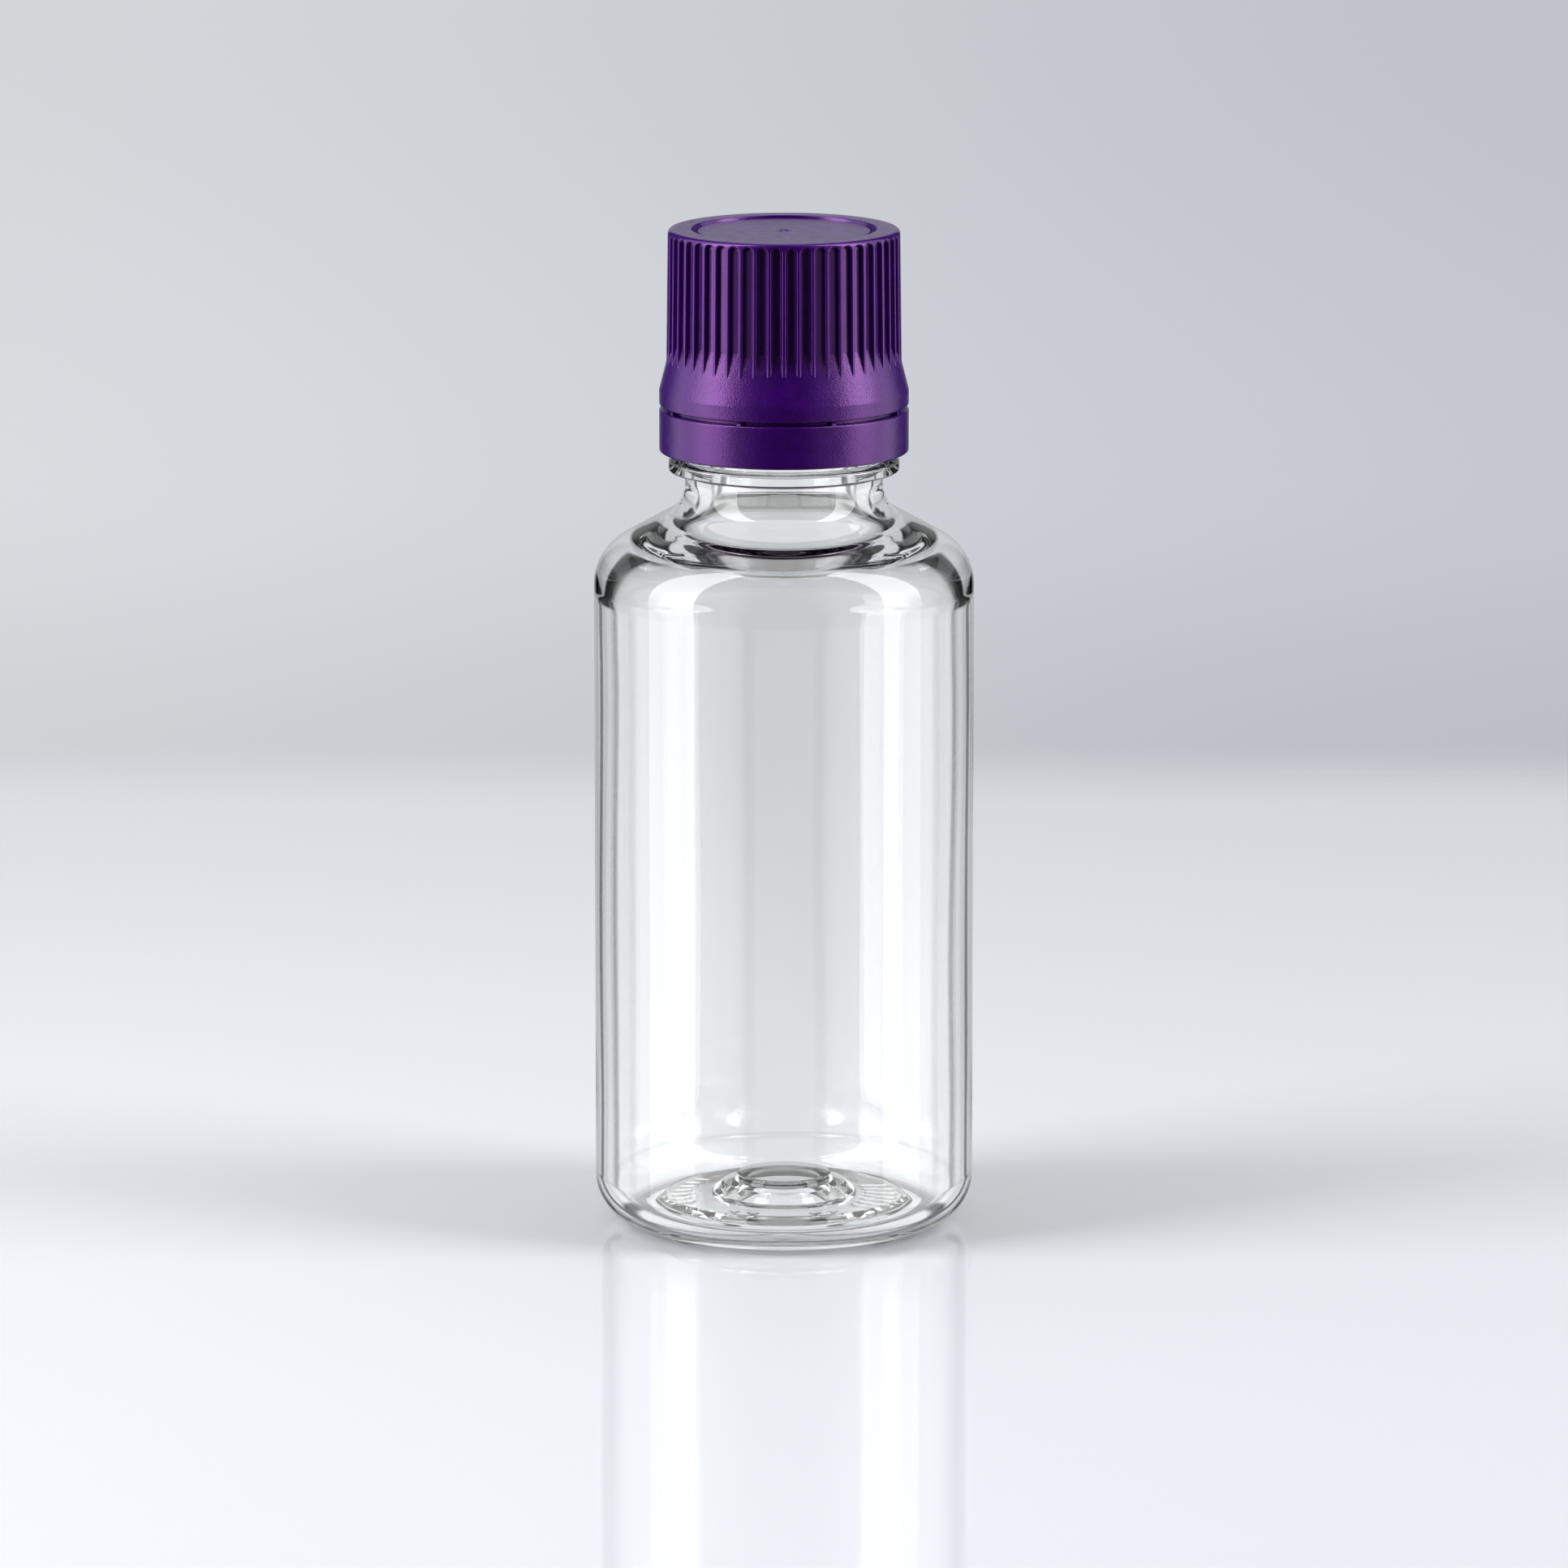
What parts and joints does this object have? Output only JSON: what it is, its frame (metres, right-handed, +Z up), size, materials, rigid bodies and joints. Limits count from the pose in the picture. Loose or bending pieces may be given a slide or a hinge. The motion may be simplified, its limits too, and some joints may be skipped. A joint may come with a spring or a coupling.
{
  "type": "dropper bottle",
  "caption": "Clear round dropper bottle with sloping shoulder, pressed-in dropper insert and a ribbed screw cap over a break-off tamper band.",
  "frame": {"origin": "centre of the ring that the bottle stands on", "axes": "+Z up along the bottle's axis, -Y towards the picture's viewer"},
  "size_m": [0.0348, 0.0348, 0.0923],
  "materials": {
    "clear_plastic": "clear and glossy",
    "natural_plastic": "milky, satin",
    "white_foam": "foamed, matt",
    "purple_plastic": "deep purple, glossy ribs"
  },
  "bodies": {
    "bottle": {"bottle": "clear_plastic", "dropper_insert": "natural_plastic"},
    "wad": {"sealing_wad": "white_foam"},
    "cap": {"screw_cap": "purple_plastic"},
    "band": {"tamper_band": "purple_plastic"}
  },
  "joints": [
    {"name": "cap_lift", "type": "slide", "parent": "bottle", "child": "wad", "axis": [0, 0, 1], "range_m": [0, 0.015]},
    {"name": "cap_turn", "type": "hinge", "parent": "wad", "child": "cap", "pos_m": [0, 0, 0.084], "axis": [0, 0, 1], "range_deg": [0, 1800]},
    {"name": "band_drop", "type": "slide", "parent": "bottle", "child": "band", "axis": [0, 0, 1], "range_m": [-0.0007, 0]}
  ],
  "couplings": [
    {"joint": "cap_lift", "follows": "cap_turn", "m_per_rad": 0.00047746}
  ]
}
